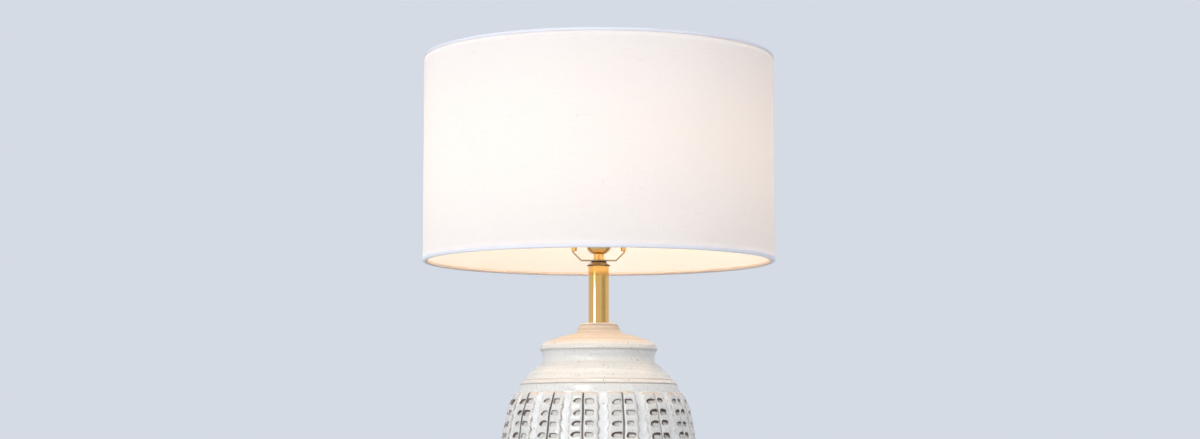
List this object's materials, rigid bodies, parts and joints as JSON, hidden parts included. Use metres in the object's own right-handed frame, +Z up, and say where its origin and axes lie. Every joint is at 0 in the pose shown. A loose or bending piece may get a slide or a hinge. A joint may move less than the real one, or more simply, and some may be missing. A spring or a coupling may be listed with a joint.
{
  "type": "table lamp",
  "caption": "Table lamp with a carved glazed stoneware body, brass neck tube, switched socket, lift-off wire harp and a linen drum shade held by a finial.",
  "frame": {"origin": "on the table under the middle of the foot", "axes": "+Z up the lamp pipe, the harp in the XZ plane, the cord inlet at the back (+Y), the switch knob at the front (-Y)"},
  "size_m": [0.4329, 0.433, 0.7442],
  "materials": {
    "glazed_stoneware": "off-white iron-specked glaze breaking to bare peach clay on the collar and the edges of the carving",
    "felt": "pressed wool felt",
    "brass": "satin polished, lacquered",
    "plated_steel": "zinc plated",
    "dark_steel": "blackened",
    "linen": "plain-weave oatmeal linen with slubs",
    "tape": "white cotton tape",
    "styrene": "translucent lampshade styrene",
    "shade_wire": "white powder coat",
    "fibre": "vulcanised fibre",
    "phenolic": "moulded phenolic",
    "bulb_glass": "inside frosted",
    "bulb_cap": "spun, bright",
    "solder": "dull solder and glass bead",
    "bushing": "moulded nylon"
  },
  "bodies": {
    "base": {"ceramic_body": "glazed_stoneware", "foot_felt": "felt", "cord_bushing": "bushing", "lamp_pipe": "plated_steel", "base_plate": "plated_steel", "base_washer": "plated_steel", "base_nut": "plated_steel", "neck_seat_ring": "plated_steel", "neck_tube": "brass", "neck_cap": "brass", "saddle_locknut": "dark_steel", "harp_saddle": "brass", "socket_cap": "brass", "socket_set_screw": "plated_steel", "cap_insulator": "fibre", "socket_shell": "brass", "shell_insulator": "fibre", "socket_interior": "phenolic", "terminal_screws": "brass", "screw_shell": "brass", "centre_contact": "brass"},
    "switch": {"switch_knob": "phenolic", "switch_shaft": "plated_steel"},
    "bulb_carrier": {"bulb_contact": "solder"},
    "bulb": {"bulb_glass": "bulb_glass", "bulb_cap": "bulb_cap"},
    "harp": {"harp_bow": "brass", "harp_stud": "brass"},
    "ferrule_left": {"harp_ferrule_left": "brass"},
    "ferrule_right": {"harp_ferrule_right": "brass"},
    "shade": {"shade_linen": "linen", "shade_liner": "styrene", "shade_top_ring": "shade_wire", "shade_bottom_ring": "shade_wire", "shade_spider": "shade_wire", "shade_top_trim": "tape", "shade_bottom_trim": "tape"},
    "finial_carrier": {"finial_insert": "plated_steel"},
    "finial": {"finial_knob": "brass"}
  },
  "joints": [
    {"name": "switch_turn", "type": "hinge", "parent": "base", "child": "switch", "pos_m": [0, -0.02, 0.5165], "axis": [0, -1, 0], "continuous": true},
    {"name": "bulb_lift", "type": "slide", "parent": "base", "child": "bulb_carrier", "axis": [0, 0, 1], "range_m": [0, 0.01814]},
    {"name": "bulb_unscrew", "type": "hinge", "parent": "bulb_carrier", "child": "bulb", "pos_m": [0, 0, 0.54], "axis": [0, 0, 1], "range_deg": [0, 1800]},
    {"name": "harp_lift", "type": "slide", "parent": "base", "child": "harp", "axis": [0, 0, 1], "range_m": [0, 0.06]},
    {"name": "ferrule_left_lift", "type": "slide", "parent": "harp", "child": "ferrule_left", "axis": [0, 0, 1], "range_m": [0, 0.018]},
    {"name": "ferrule_right_lift", "type": "slide", "parent": "harp", "child": "ferrule_right", "axis": [0, 0, 1], "range_m": [0, 0.018]},
    {"name": "shade_turn", "type": "hinge", "parent": "harp", "child": "shade", "pos_m": [0, 0, 0.7164], "axis": [0, 0, 1], "continuous": true},
    {"name": "finial_lift", "type": "slide", "parent": "harp", "child": "finial_carrier", "axis": [0, 0, 1], "range_m": [0, 0.0094]},
    {"name": "finial_unscrew", "type": "hinge", "parent": "finial_carrier", "child": "finial", "pos_m": [0, 0, 0.73], "axis": [0, 0, 1], "range_deg": [0, 3600]}
  ],
  "couplings": [
    {"joint": "bulb_unscrew", "follows": "bulb_lift", "rad_per_m": 1731.4},
    {"joint": "finial_unscrew", "follows": "finial_lift", "rad_per_m": 6677.1}
  ]
}
